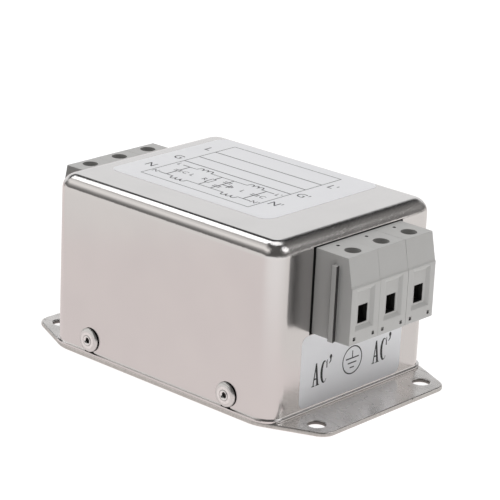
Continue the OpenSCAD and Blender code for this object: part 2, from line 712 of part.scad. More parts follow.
// One winding: its turns lie side by side as one band in the core's bore, and fan out
// over the core's faces and outside, with a lead down from each end turn
module winding(end, side) {
    band_a = coil_turns * coil_step;
    rise = core_h + 2 * coil_gap;
    over = rise + 2 * wire_d;
    color("orangered") {
        translate([end * choke_x, 0, coil_foot]) {
            rotate([0, 0, 90 * side - band_a / 2]) rotate_extrude(angle = band_a)
                translate([coil_in - wire_d, 0]) square([wire_d, over]);
            for (i = [0:coil_turns - 1]) rotate([0, 0, 90 * side + (i - (coil_turns - 1) / 2) * coil_step])
                run_along_y(wire_d) difference() {
                    translate([coil_bore_r, 0]) square([coil_reach - coil_bore_r, over]);
                    translate([coil_bore_r - cut, wire_d]) square([coil_out + cut - coil_bore_r, rise]);
                }
        }
        for (last = [false, true]) {
            lead = coil_lead(end, side, last);
            translate([lead.x, lead.y, pin_foot]) cylinder(d = lead_d, h = coil_foot + wire_d / 2 - pin_foot);
        }
    }
}

// Box on the board, with two pins through it
module x_capacitor(at) {
    color("gold") {
        translate([at.x - x_cap_l / 2, at.y - x_cap_w / 2, board_top]) cube([x_cap_l, x_cap_w, x_cap_h]);
        for (s = [-0.5, 0.5])
            translate([at.x + s * x_cap_pitch, at.y, pin_foot])
                cylinder(d = pin_d, h = board_top + cut - pin_foot);
    }
}

// Dipped disc on its edge, with two pins down from it
module y_capacitor(end, side) {
    color("royalblue") translate([end * y_cap_x, side * y_cap_y, 0]) {
        translate([0, 0, board_top + seat_gap + y_cap_d / 2]) rotate([90, 0, 0])
            cylinder(d = y_cap_d, h = y_cap_t, center = true);
        for (s = [-0.5, 0.5]) translate([s * y_cap_pitch, 0, pin_foot])
            cylinder(d = pin_d, h = board_top + seat_gap + y_cap_d / 2 - pin_foot);
    }
}

module bleed_resistor() {
    color("peru") {
        translate([resistor_at.x, resistor_at.y, resistor_z]) rotate([0, 90, 0]) {
            cylinder(d = resistor_d, h = resistor_l, center = true);
            cylinder(d = pin_d, h = resistor_pitch, center = true);
        }
        for (p = resistor_pins)
            translate([p.x, p.y, pin_foot]) cylinder(d = pin_d, h = resistor_z - pin_foot);
    }
}

// --- Labels -----------------------------------------------------------------------

module top_label() {
    l = can_l - top_label_line_gap - top_label_load_gap;
    w = can_w - top_label_front_gap - top_label_back_gap;
    x = (top_label_line_gap - top_label_load_gap) / 2;
    y = (top_label_front_gap - top_label_back_gap) / 2;
    color("white") translate([x, y, can_top]) linear_extrude(label_t) rounded_rect(l, w, top_label_r);
}

module end_label(end) {
    foot = plate_t + end_label_rise;
    h = block_foot - end_label_gap - foot;
    color("white") rotate([0, 0, end > 0 ? 0 : 180])
        translate([wall_x, 0, foot + h / 2]) rotate([90, 0, 90])
            linear_extrude(label_t) rounded_rect(end_label_w, h, end_label_r);
}

// --- Nodes ------------------------------------------------------------------------

base_plate();
side_rail(-1);  // side_rail_front
side_rail(1);  // side_rail_back
cover_can();
rivet_bodies();
rivet_mandrels();
insulating_sheet();
board_pillars();
board_screws();
circuit_board();
bleed_resistor();
top_label();
end_label(-1);  // line_label
end_label(1);  // load_label
x_capacitor(x_caps[0]);  // x_capacitor_line
x_capacitor(x_caps[1]);  // x_capacitor_load
x_capacitor(x_caps[2]);  // x_capacitor_middle

for (e = [0, 1]) {
    end = 2 * e - 1;
    for (k = [0:2]) {
        at_pole(end, k) housing();
        at_pole(end, k) bar();
        at_pole(end, k) cage();
        at_pole(end, k) clamp_screw();
    }
    choke_core(end);
    for (s = [0, 1]) {
        side = 2 * s - 1;
        winding(end, side);
        y_capacitor(end, side);
    }
}
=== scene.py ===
import json
import math

import bmesh
import bpy
from mathutils import Matrix, Vector


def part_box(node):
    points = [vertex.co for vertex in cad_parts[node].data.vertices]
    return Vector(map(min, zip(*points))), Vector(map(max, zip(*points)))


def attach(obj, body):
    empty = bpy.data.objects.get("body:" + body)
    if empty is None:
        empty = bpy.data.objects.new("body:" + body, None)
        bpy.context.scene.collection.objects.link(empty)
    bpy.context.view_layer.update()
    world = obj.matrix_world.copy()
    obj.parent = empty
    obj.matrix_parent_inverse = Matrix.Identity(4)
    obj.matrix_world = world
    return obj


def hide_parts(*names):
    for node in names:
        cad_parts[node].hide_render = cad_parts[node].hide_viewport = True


mm = 0.001
tiny = 0.01 * mm

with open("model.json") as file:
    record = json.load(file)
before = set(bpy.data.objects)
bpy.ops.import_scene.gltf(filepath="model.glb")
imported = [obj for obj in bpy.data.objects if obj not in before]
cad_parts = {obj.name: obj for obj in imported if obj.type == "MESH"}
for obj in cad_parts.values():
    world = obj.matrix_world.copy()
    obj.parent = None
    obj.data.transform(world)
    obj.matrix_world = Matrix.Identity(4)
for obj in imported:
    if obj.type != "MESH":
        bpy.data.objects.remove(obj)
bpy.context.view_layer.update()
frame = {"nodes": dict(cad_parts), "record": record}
nodes = frame["nodes"]
print("frame loaded with", len(nodes), "nodes")

ends = ["line", "load"]
poles = ["n", "g", "l"]


def linear(code):  # an sRGB hex value as a linear colour
    parts = [int(code[i:i + 2], 16) / 255 for i in (0, 2, 4)]
    return [c / 12.92 if c <= 0.04045 else ((c + 0.055) / 1.055) ** 2.4 for c in parts] + [1]


def add(tree, kind, inputs=None, **settings):
    node = tree.nodes.new(kind)
    for name, value in settings.items():
        setattr(node, name, value)
    for socket, value in (inputs or {}).items():
        if isinstance(value, bpy.types.Node):
            value = value.outputs[0]
        if isinstance(value, bpy.types.NodeSocket):
            tree.links.new(value, node.inputs[socket])
        else:
            node.inputs[socket].default_value = value
    return node


def newMaterial(name, **shader):
    material = bpy.data.materials.new(name)
    material.use_nodes = True
    tree = material.node_tree
    principled = tree.nodes["Principled BSDF"]
    for socket, value in shader.items():
        principled.inputs[socket.replace("_", " ")].default_value = value
    place = add(tree, "ShaderNodeTexCoord").outputs["Object"]
    return material, tree, principled, place


def perMm(size):  # texture scale whose features are about this many millimetres apart
    return 1 / (size * mm)


def noise(tree, place, size, detail=3):
    field = add(tree, "ShaderNodeTexNoise", {"Vector": place, "Scale": perMm(size), "Detail": detail})
    return field.outputs["Fac"]


def mixed(tree, factor, low, high):  # a colour between two, each a hex value or a socket
    low, high = (linear(tone) if isinstance(tone, str) else tone for tone in (low, high))
    return add(tree, "ShaderNodeMix", {0: factor, 6: low, 7: high}, data_type="RGBA").outputs[2]


def marked(tree, name):  # a value kept on the mesh
    return add(tree, "ShaderNodeAttribute", attribute_name=name).outputs["Fac"]


# A colour that wanders a little between two tones, over patches of the given size
def mottled(tree, place, low, high, size):
    return mixed(tree, noise(tree, place, size), low, high)


def spread(tree, value, low, high):  # a noise's greys, nearly all from 0.3 to 0.7, stretched to a range
    return add(tree, "ShaderNodeMapRange", {"Value": value, "From Min": 0.3, "From Max": 0.7,
                                            "To Min": low, "To Max": high}).outputs["Result"]


def bumped(tree, shader, height, distance):
    bump = add(tree, "ShaderNodeBump", {"Height": height, "Distance": distance * mm})
    tree.links.new(bump.outputs["Normal"], shader.inputs["Normal"])


# Thin lines that wander far one way and little the other, like rub marks and hairline scratches
def hairlines(tree, place, length, apart, turn, width):
    drawnOut = add(tree, "ShaderNodeMapping", {"Vector": place, "Rotation": (0, 0, turn),
                                               "Scale": (1 / length, 1 / apart, 1 / apart)})
    field = noise(tree, drawnOut, 1, 0)
    return add(tree, "ShaderNodeMath", {0: field, 1: 0.5, 2: width}, operation="COMPARE").outputs[0]


def specks(tree, place, apart, size, share):  # small round dots, in a share of the cells
    cells = add(tree, "ShaderNodeTexVoronoi", {"Vector": place, "Scale": perMm(apart)})
    near = add(tree, "ShaderNodeMath", {0: cells.outputs["Distance"], 1: size / apart}, operation="LESS_THAN")
    hue = add(tree, "ShaderNodeSeparateColor", {0: cells.outputs["Color"]})
    few = add(tree, "ShaderNodeMath", {0: hue, 1: share}, operation="LESS_THAN")
    return add(tree, "ShaderNodeMath", {0: near, 1: few}, operation="MULTIPLY").outputs[0]


# Sheet steel, nickel plated after drawing: a soft mirror, nearly neutral, with faint smears where it
# was handled, a little duller on the walls, which rubbed in the die, and an orange peel where the draw
# stretched it round its edges. The real peel is finer, and is drawn coarser so that it shows
canFinish = {"tones": ("CDCBCB", "D4D2D1"), "patch": 14, "roughness": (0.1, 0.15), "rubbed": 0.08, "smear": 9,
             "peel": 0.33, "peelHeight": 0.065}


def nickelSheet():
    material, tree, shader, place = newMaterial("nickelPlatedSheet", Metallic=1)
    f = canFinish
    tree.links.new(mottled(tree, place, *f["tones"], f["patch"]), shader.inputs["Base Color"])
    rubbed = add(tree, "ShaderNodeMath", {0: marked(tree, "wall"), 1: f["rubbed"]}, operation="MULTIPLY")
    smeared = spread(tree, noise(tree, place, f["smear"], 5), *f["roughness"])
    rough = add(tree, "ShaderNodeMath", {0: smeared, 1: rubbed})
    tree.links.new(rough.outputs[0], shader.inputs["Roughness"])
    height = add(tree, "ShaderNodeMath", {0: noise(tree, place, f["peel"]), 1: marked(tree, "stretch")},
                 operation="MULTIPLY")
    bumped(tree, shader, height, f["peelHeight"])
    return material


# The plate is the same sheet, but rolled only and handled more: a little rougher, with hairlines and
# small dark specks where the plating was knocked. Its sheared sides are dull and torn upright, and its
# rolled-over edge and the holes' walls get painted shade, as they see little light. The rails have the same wear
# under zinc
plateFinish = {"tones": ("E2DFDD", "E9E6E4"), "patch": 8, "roughness": (0.2, 0.32), "smear": 5}
railFinish = {"tones": ("A9A9A6", "B8B8B4"), "patch": 6, "roughness": (0.25, 0.4), "smear": 4}
sheetWear = {"hairlines": (26, 3.5, 0.9, 0.003), "scratched": "BCB9B6",
             "specks": (6, 0.32, 0.2), "knocked": "6F6C69", "sheetShade": "6A6866",
             "sheared": ("A9A9A6", "D6D6D3"), "tear": 0.5, "tearUpright": 0.15, "shearedRough": 0.5}


def rolledSheet(name, finish):
    material, tree, shader, place = newMaterial(name, Metallic=1)
    w = sheetWear
    tone = mottled(tree, place, *finish["tones"], finish["patch"])
    tone = mixed(tree, hairlines(tree, place, *w["hairlines"]), tone, w["scratched"])
    tone = mixed(tree, specks(tree, place, *w["specks"]), tone, w["knocked"])
    upright = add(tree, "ShaderNodeMapping", {"Vector": place, "Scale": (1, 1, w["tearUpright"])})
    torn = mottled(tree, upright, *w["sheared"], w["tear"])
    sheared = marked(tree, "sheared")
    tone = mixed(tree, sheared, tone, torn)
    # Painted shade: the holes' walls are darkened fully and the rolled-over edge a little, where they see little
    # light
    tree.links.new(mixed(tree, marked(tree, "sheetShade"), tone, w["sheetShade"]), shader.inputs["Base Color"])
    smeared = spread(tree, noise(tree, place, finish["smear"], 6), *finish["roughness"])
    rough = add(tree, "ShaderNodeMix", {0: sheared, 2: smeared, 3: w["shearedRough"]}, data_type="FLOAT")
    tree.links.new(rough.outputs[0], shader.inputs["Roughness"])
    return material


# Polyamide, moulded in a lightly spark-eroded tool: a matte grey with an even grain, drawn a little
# coarser than the real one so that it shows. Faces marked for painted shade are darkened towards black
# where little light gets in: the wire entries, the probe and peg holes, the faces inside the can, and in part the
# bores and the rib's flanks
plasticFinish = {"tones": ("B6B5B3", "BCBBB9"), "patch": 5, "paintedShade": "1B1B1A", "grain": 0.25, "grainHeight": 0.004}


def mouldedPolyamide():
    material, tree, shader, place = newMaterial("mouldedPolyamide", Roughness=0.52, IOR=1.53)
    f = plasticFinish
    lit = mottled(tree, place, *f["tones"], f["patch"])
    # Painted shade: marked faces are mixed towards near-black where little light gets in
    tree.links.new(mixed(tree, marked(tree, "paintedShade"), lit, f["paintedShade"]), shader.inputs["Base Color"])
    bumped(tree, shader, noise(tree, place, f["grain"], 2), f["grainHeight"])
    return material


# Aluminium of the rivet heads, upset cold: bright and a little lumpy on the dome. Marked faces are duller
# and darkened with painted shade, most in the mandrel's hole and under the rim, less in the groove and on the
# outer flank
rivetFinish = {"tones": ("D2D2D1", "F0F0EF"), "patch": 0.5, "dullAndPaintedShade": "232322", "roughness": (0.22, 0.6),
               "lump": 0.5, "lumpHeight": 0.05}


def upsetAluminium():
    material, tree, shader, place = newMaterial("softAluminium", Metallic=1)
    f = rivetFinish
    # Painted shade with a duller finish: marked faces go dark and rough
    dullAndPaintedShade = marked(tree, "dullAndPaintedShade")
    bright = mottled(tree, place, *f["tones"], f["patch"])
    tree.links.new(mixed(tree, dullAndPaintedShade, bright, f["dullAndPaintedShade"]), shader.inputs["Base Color"])
    rough = add(tree, "ShaderNodeMix", {0: dullAndPaintedShade, 2: f["roughness"][0], 3: f["roughness"][1]}, data_type="FLOAT")
    tree.links.new(rough.outputs[0], shader.inputs["Roughness"])
    bumped(tree, shader, noise(tree, place, f["lump"]), f["lumpHeight"])
    return material


fineGrain = 0.4  # mm between the bumps of a plain finish


# A plain finish with a little life: two near tones and a fine bump
def plainFinish(name, low, high, patch, bumpHeight=0.004, **values):
    material, tree, shader, place = newMaterial(name, **values)
    tree.links.new(mottled(tree, place, low, high, patch), shader.inputs["Base Color"])
    bumped(tree, shader, noise(tree, place, fineGrain), bumpHeight)
    return material


# Each stands for a real finish: zinc is a cool grey, tin paler and yellower, phosphate nearly black and
# dull, the fibre and cement matte and sandy, and the dipped, potted and masked parts glossy
finishes = {
    "plate": rolledSheet("rolledNickelSheet", plateFinish),
    "can": nickelSheet(),
    "rail": rolledSheet("zincPlatedSheet", railFinish),
    "rivet": upsetAluminium(),
    "mandrel": plainFinish("phosphatedSteel", "3A3836", "4A4745", 1, Metallic=1, Roughness=0.5),
    "housing": mouldedPolyamide(),
    "bar": plainFinish("tinnedCopper", "B5AC98", "C9C1AE", 3, Metallic=1, Roughness=0.3),
    "cage": plainFinish("zincPlatedCage", "8C8C8A", "9A9A97", 2, Metallic=1, Roughness=0.35),
    "screw": plainFinish("zincPlatedScrew", "9C9C9A", "AFAFAC", 1.5, Metallic=1, Roughness=0.3),
    "sheet": plainFinish("pressedFibreSheet", "A8936C", "B8A47C", 2, Roughness=0.75),
    "pillar": plainFinish("turnedBrass", "BFA05E", "CDB06C", 2, Metallic=1, Roughness=0.25),
    "board": plainFinish("solderMaskedGlassEpoxy", "1F4D2A", "265A33", 4, Roughness=0.35),
    "ferrite": plainFinish("coatedFerrite", "2E2E30", "3A3A3C", 1.5, 0.03, Roughness=0.7),
    "winding": plainFinish("enamelledCopper", "A4552A", "B9683A", 2, Metallic=1, Roughness=0.28),
    "box_capacitor": plainFinish("pottedPolyesterBox", "CDA42E", "D6AE3A", 6, Roughness=0.3),
    "disc_capacitor": plainFinish("dippedEpoxy", "1C4C9C", "2457A8", 2, 0.02, Roughness=0.3),
    "resistor": plainFinish("bakedCementCoating", "B29A6C", "BEA67A", 2, Roughness=0.6),
    "label": plainFinish("coatedLabelPaper", "E4E4E7", "E8E8EA", 10, 0.001, Roughness=0.45),
}
ink = plainFinish("screenInk", "3B3B3E", "48484B", 1, 0.0005, Roughness=0.6)
boldInk = plainFinish("boldScreenInk", "1E1E20", "2A2A2C", 1, 0.0005, Roughness=0.6)
for row in frame["record"]["subparts"]:
    mesh = nodes[row["node"]].data
    mesh.materials.clear()
    mesh.materials.append(finishes[row["material_slot"]])
print("materials made:", len(bpy.data.materials))


def bevel(bm, edges, width, steps, clamped=True):
    bmesh.ops.bevel(bm, geom=edges, offset=width * mm, segments=steps, affect="EDGES", profile=0.5,
                    material=-1, clamp_overlap=clamped)


# Every new piece is fixed to the case; the moving screws and cages are the CAD's own
def finishPiece(name, bm, slot, material=None, replaced=(), sharpAt=35):
    for face in bm.faces:
        face.smooth = True
    for edge in bm.edges:
        edge.smooth = edge.calc_face_angle(0) < math.radians(sharpAt)
    mesh = bpy.data.meshes.new(name)
    bm.to_mesh(mesh)
    bm.free()
    mesh.materials.append(material or finishes[slot])
    piece = bpy.data.objects.new(name, mesh)
    bpy.context.scene.collection.objects.link(piece)
    flat = piece.modifiers.new("flatFaces", "WEIGHTED_NORMAL")
    flat.keep_sharp = True
    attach(piece, "case")
    if replaced:
        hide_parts(*replaced)
    return piece


# A CAD node's mesh, joined up and with its flat faces whole, except where an inner test keeps them apart
def mergedCopy(node, inner=lambda vert: False):
    bm = bmesh.new()
    bm.from_mesh(nodes[node].data)
    bmesh.ops.remove_doubles(bm, verts=bm.verts[:], dist=tiny / 10)
    outer = [e for e in bm.edges if not all(inner(v) for v in e.verts)]
    bmesh.ops.dissolve_limit(bm, angle_limit=math.radians(1), verts=[], edges=outer,
                             use_dissolve_boundaries=False, delimit=set())
    return bm


# The drawn can, with a thin lip turned out at its foot and an opening for each terminal block
can = {"cornerR": 4.8, "cornerSteps": 14, "edgeR": 3.7, "edgeSteps": 14, "lip": 0.65, "bendR": 0.4,
       "bendSteps": 5, "sheet": 0.5, "rimR": 0.14, "blockGap": 0.85, "blockGapOver": 0.3, "blockFoot": 20.9,
       "blockTop": 42, "shoulder": 0.3, "peelRise": 5, "peelEnd": 1.1, "peelAlong": 0.2}
canLow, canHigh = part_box("cover_can")
wallX = canHigh.x - can["lip"] * mm
wallY = canHigh.y - can["lip"] * mm
footZ, topZ = canLow.z, canHigh.z


def outward(point, radius):  # square to the wall, seen from above, also round the corners
    inner = Vector((max(-wallX + radius, min(wallX - radius, point.x)),
                    max(-wallY + radius, min(wallY - radius, point.y)), point.z))
    return (point - inner).normalized()


def cutOpening(bm, side):
    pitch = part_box("load_bar_l")[0].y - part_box("load_bar_g")[0].y
    half = 1.5 * pitch + can["blockGap"] * mm
    low = (can["blockFoot"] - can["blockGapOver"]) * mm
    high = (can["blockTop"] + can["blockGapOver"]) * mm

    def endWall():  # the flat wall and the start of its rounded shoulder
        return [f for f in bm.faces if f.normal.x * side > 0.9
                and f.calc_center_median().x * side > wallX - can["shoulder"] * mm]

    for co, no in (((0, half, 0), (0, 1, 0)), ((0, -half, 0), (0, 1, 0)), ((0, 0, low), (0, 0, 1)),
                   ((0, 0, high), (0, 0, 1))):
        wall = endWall()
        geometry = set(wall) | {e for f in wall for e in f.edges} | {v for f in wall for v in f.verts}
        bmesh.ops.bisect_plane(bm, geom=list(geometry), plane_co=co, plane_no=no, dist=tiny / 10)
    middles = [(face, face.calc_center_median()) for face in endWall()]
    window = [face for face, middle in middles if abs(middle.y) < half and low < middle.z < high]
    bmesh.ops.delete(bm, geom=window, context="FACES")


def buildCan():
    bend, sheet = can["bendR"] * mm, can["sheet"] * mm
    start = footZ + sheet + bend
    bm = bmesh.new()
    bmesh.ops.create_cube(bm, size=1)
    bmesh.ops.scale(bm, verts=bm.verts[:], vec=(2 * wallX, 2 * wallY, topZ - start))
    bmesh.ops.translate(bm, verts=bm.verts[:], vec=(0, 0, (topZ + start) / 2))
    corners = [e for e in bm.edges if abs(e.verts[0].co.z - e.verts[1].co.z) > mm]
    bevel(bm, corners, can["cornerR"], can["cornerSteps"])
    topEdges = [e for e in bm.edges if min(v.co.z for v in e.verts) > topZ - tiny]
    bevel(bm, topEdges, can["edgeR"], can["edgeSteps"])
    bmesh.ops.delete(bm, geom=[f for f in bm.faces if f.normal.z < -0.9], context="FACES")
    ring = [e for e in bm.edges if e.is_boundary]
    turns = [math.pi / 2 * i / can["bendSteps"] for i in range(1, can["bendSteps"] + 1)]
    profile = [(bend * (1 - math.cos(a)), start - bend * math.sin(a)) for a in turns]
    profile.append((can["lip"] * mm, footZ + sheet))
    reached = 0
    for out, z in profile:
        grown = bmesh.ops.extrude_edge_only(bm, edges=ring)["geom"]
        ring = [g for g in grown if isinstance(g, bmesh.types.BMEdge)]
        for vert in [g for g in grown if isinstance(g, bmesh.types.BMVert)]:
            vert.co += outward(vert.co, can["cornerR"] * mm) * (out - reached)
            vert.co.z = z
        reached = out
    for side in (-1, 1):
        cutOpening(bm, side)
    bmesh.ops.remove_doubles(bm, verts=bm.verts[:], dist=tiny / 10)
    bmesh.ops.recalc_face_normals(bm, faces=bm.faces[:])
    bmesh.ops.solidify(bm, geom=bm.faces[:], thickness=sheet)
    sharp = [e for e in bm.edges if e.calc_face_angle(0) > math.radians(60)]
    rim = [e for e in sharp if max(v.co.z for v in e.verts) < start
           and all(abs(v.co.x) > wallX + tiny or abs(v.co.y) > wallY + tiny for v in e.verts)]
    bevel(bm, rim, can["rimR"], 2)
    wall = bm.verts.layers.float.new("wall")
    stretch = bm.verts.layers.float.new("stretch")  # most half way round an edge, and on the end edges
    wallTop = topZ - (can["edgeR"] - 0.1) * mm
    bm.normal_update()
    for vert in bm.verts:
        vert[wall] = 1 if vert.co.z < wallTop else 0
        slope = abs(vert.normal.z)
        if vert.co.z > topZ / 2 and 0.02 < slope < 0.985:
            bent = min(1, can["peelRise"] * slope * (can["peelEnd"] - slope))
            endward = abs(vert.normal.x) / max(vert.normal.xy.length, 0.01)
            vert[stretch] = bent * (can["peelAlong"] + (1 - can["peelAlong"]) * endward)
    finishPiece("drawnCan", bm, "can", replaced=["cover_can"])


buildCan()
print("can built")


# The plate's edges are rolled over above and below, and its sides and holes are sheared upright
plate = {"edge": 0.36, "edgeSteps": 4, "holeIn": 5.5, "holeY": 19.5, "holeHalf": 2.4, "sheetShade": 0.25,
         "rolledFrom": 0.4, "rolledTo": 0.95}


def buildPlate():
    bm = mergedCopy("base_plate")
    sharp = [e for e in bm.edges if e.is_manifold and e.calc_face_angle(0) > math.radians(60)]
    bevel(bm, sharp, plate["edge"], plate["edgeSteps"], clamped=False)
    # Painted shade: marked fully on the holes' walls and lightly on the rolled-over edge
    sheared = bm.faces.layers.float.new("sheared")
    sheetShade = bm.faces.layers.float.new("sheetShade")
    bm.normal_update()
    outside = max(v.co.x for v in bm.verts) - plate["holeIn"] * mm
    for face in bm.faces:
        middle = face.calc_center_median()
        fromHole = math.hypot(abs(middle.x) - outside, abs(middle.y) - plate["holeY"] * mm)
        inHole = fromHole < plate["holeHalf"] * mm
        if abs(face.normal.z) < plate["rolledFrom"]:
            face[sheetShade if inHole else sheared] = 1
        elif plate["rolledFrom"] < face.normal.z < plate["rolledTo"]:
            face[sheetShade] = plate["sheetShade"]
    finishPiece("flangedPlate", bm, "plate", replaced=["base_plate"])


buildPlate()
print("plate built")


# A terminal housing. Its cavity's faces are left as they are, since they don't show, and edges beside
# the next housing are softened less, so that the seam stays narrow
housing = {"edge": 0.22, "edgeSteps": 2, "sharpAt": 20, "longest": 2.5, "rim": 0.12, "skin": 1, "cavityHalf": 4.6,
           "seam": 0.08, "seamSharpAt": 60, "seamFrom": 5, "seamTo": 14.5,
           "entryHalf": 1.7, "entryLow": 25.4, "entryHigh": 30, "mouth": 0.8,
           "probeHalf": 1, "probeDepth": 3.2, "probeIn": 5,
           "pegLow": 0.9, "pegTop": 1.9, "pegFrom": 2.9, "pegTo": 3.9, "pegMouth": 0.05,
           "ribFrom": 5.2, "ribShade": 0.95, "boreHalf": 2.7, "boreDepth": 8, "boreShade": 0.16, "upright": 0.3}


def buildHousing(end, pole):
    low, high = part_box(f"{end}_housing_{pole}")
    cage, bore = (sum(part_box(f"{end}_{kind}_{pole}"), Vector()) / 2 for kind in ("cage", "screw"))
    front = max(abs(low.x), abs(high.x))
    h = {name: value * mm for name, value in housing.items()}  # its lengths in metres

    def inCavity(vert):
        inward = abs(vert.co.x) < front - h["skin"] and abs(vert.co.y - cage.y) < h["cavityHalf"]
        return inward and low.z + h["skin"] / 2 < vert.co.z < high.z - h["skin"] / 2

    def atSeam(edge):  # where the next housing lies close by
        return all(abs(v.co.y - cage.y) > h["seamFrom"] and abs(v.co.y) < h["seamTo"] for v in edge.verts)

    def outer(sharpAt):  # the convex edges that show
        convex = [e for e in bm.edges if e.is_manifold and e.is_convex and not all(inCavity(v) for v in e.verts)]
        return [e for e in convex if e.calc_face_angle(0) > math.radians(sharpAt)]

    bm = mergedCopy(f"{end}_housing_{pole}", inCavity)
    long = [e for e in outer(housing["sharpAt"]) if e.calc_length() > h["longest"]]
    bevel(bm, [e for e in long if not atSeam(e)], housing["edge"], housing["edgeSteps"])
    long = [e for e in outer(housing["seamSharpAt"]) if e.calc_length() > h["longest"]]
    bevel(bm, [e for e in long if atSeam(e)], housing["seam"], 1)
    rims = [e for e in outer(60) if e.calc_length() < mm and min(v.co.z for v in e.verts) > high.z - tiny]
    bevel(bm, rims, housing["rim"], 1)
    bmesh.ops.bisect_plane(bm, geom=bm.faces[:] + bm.edges[:] + bm.verts[:], plane_no=(1, 0, 0), dist=tiny / 10,
                           plane_co=(math.copysign(wallX, low.x + high.x), 0, 0))

    # Painted shade: faces inside the can, in the wire entries and peg holes and deep in the probe holes go
    # near-black, the rib's flanks nearly so, and the bores a little
    paintedShade = bm.faces.layers.float.new("paintedShade")
    bm.normal_update()
    for face in bm.faces:
        middle = face.calc_center_median()
        across, out, upright = abs(middle.y - cage.y), abs(middle.x), abs(face.normal.z) < housing["upright"]
        fromBore = math.hypot(middle.x - bore.x, middle.y - cage.y)
        inEntry = across < h["entryHalf"] and h["entryLow"] < middle.z < h["entryHigh"]
        inPeg = low.z + h["pegLow"] < middle.z < low.z + h["pegTop"] and h["pegFrom"] < across < h["pegTo"]
        if out < wallX or (inEntry and out < front - h["mouth"]) or (inPeg and out < front - h["pegMouth"]):
            face[paintedShade] = 1
        elif upright and middle.z > high.z - h["probeDepth"] and across < h["probeHalf"]:
            face[paintedShade] = 1 if fromBore > h["boreHalf"] and out < front - h["probeIn"] else 0
        elif across > h["ribFrom"] and abs(face.normal.x) > housing["upright"]:
            face[paintedShade] = housing["ribShade"]
        if upright and fromBore < h["boreHalf"] and middle.z > high.z - h["boreDepth"]:
            face[paintedShade] = housing["boreShade"]
    finishPiece(f"{end}Housing{pole.upper()}", bm, "housing", replaced=[f"{end}_housing_{pole}"])


for end in ends:
    for pole in poles:
        buildHousing(end, pole)
print("terminal housings built")


# Blind rivets: a dome that rises from a thin rim, a groove inside it, and a ring round the hole that
# the mandrel broke off in. The throat is drawn out from the hole's edge and the ring from the sink's
rivet = {"headD": 6.2, "headH": 1.07, "holeD": 1.3, "sinkD": 2, "shankD": 3.2, "shankDepth": 1.5, "steps": 48,
         "throat": ((0, -0.4), (0.06, -0.3)), "ring": ((-0.1, -0.04), (0.02, 0), (0.18, 0), (0.3, -0.14)),
         "groove": 0.45, "domeFoot": 0.3, "domeH": 0.69, "domeSteps": 8, "rimH": 0.15, "rimIn": 0.2,
         "holeEdge": 0.02, "rimEdge": 0.12, "grooveEdge": 0.2, "grooveDullShade": 0.35, "flankFrom": 0.7,
         "flankDullShade": 0.16}


def rivetProfile():  # half of the head's section, from the hole's foot out to the shank's
    v = rivet
    edge, sink, hole, shank = v["headD"] / 2, v["sinkD"] / 2, v["holeD"] / 2, v["shankD"] / 2
    start = sink + v["groove"]
    points = [(hole, -v["shankDepth"])] + [(hole + a, v["headH"] + b) for a, b in v["throat"]]
    points += [(sink + a, v["headH"] + b) for a, b in v["ring"]]
    for turn in (math.pi / 2 * k / v["domeSteps"] for k in range(v["domeSteps"] + 1)):
        points.append((start + (edge - start) * math.sin(turn), v["domeFoot"] + v["domeH"] * math.cos(turn)))
    return points + [(edge, v["rimH"]), (edge - v["rimIn"], 0), (shank, 0), (shank, -v["shankDepth"])]


# The painted shade and dullness of a face of the head: full in the mandrel's hole and under the rim, less in the
# groove, least on the outer flank
def dullShadeAt(out, up):  # how dull a face of the head is
    edge, sink = rivet["headD"] / 2, rivet["sinkD"] / 2
    if out < rivet["holeD"] / 2 + rivet["holeEdge"] or (out > edge - rivet["rimEdge"] and up < rivet["domeFoot"]):
        return 1
    if sink + rivet["grooveEdge"] < out < sink + rivet["groove"]:
        return rivet["grooveDullShade"]
    return rivet["flankDullShade"] if out > rivet["flankFrom"] * edge else 0


def buildRivets():
    low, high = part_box("rivet_bodies")
    x, z = high.x - rivet["headD"] / 2 * mm, (low.z + high.z) / 2
    for side in (-1, 1):
        for end in (-1, 1):
            bm = bmesh.new()
            verts = [bm.verts.new((a * mm, 0, b * mm)) for a, b in rivetProfile()]
            edges = [bm.edges.new((verts[i - 1], verts[i])) for i in range(len(verts))]
            bmesh.ops.spin(bm, geom=verts + edges, cent=(0, 0, 0), axis=(0, 0, 1), angle=2 * math.pi,
                           steps=rivet["steps"], use_merge=True)
            bmesh.ops.remove_doubles(bm, verts=bm.verts[:], dist=tiny / 10)
            bmesh.ops.recalc_face_normals(bm, faces=bm.faces[:])
            # Painted shade and dullness, face by face
            dullAndPaintedShade = bm.faces.layers.float.new("dullAndPaintedShade")
            for face in bm.faces:
                middle = face.calc_center_median() / mm
                face[dullAndPaintedShade] = dullShadeAt(middle.xy.length, middle.z)
            turn = Matrix.Rotation(math.radians(-90 * side), 4, "X")
            bm.transform(Matrix.Translation((end * x, side * wallY, z)) @ turn)
            name = f"rivetHead{'Front' if side < 0 else 'Back'}{'Line' if end < 0 else 'Load'}"
            finishPiece(name, bm, "rivet", sharpAt=50)
    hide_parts("rivet_bodies")


buildRivets()
print("rivets built")


# Labels: coated paper, with the print as a thin skin of ink standing on it
label = {"thickness": 0.03, "rim": 0.012, "ink": 0.005, "topCorner": 3, "endCorner": 2, "cornerSteps": 8}


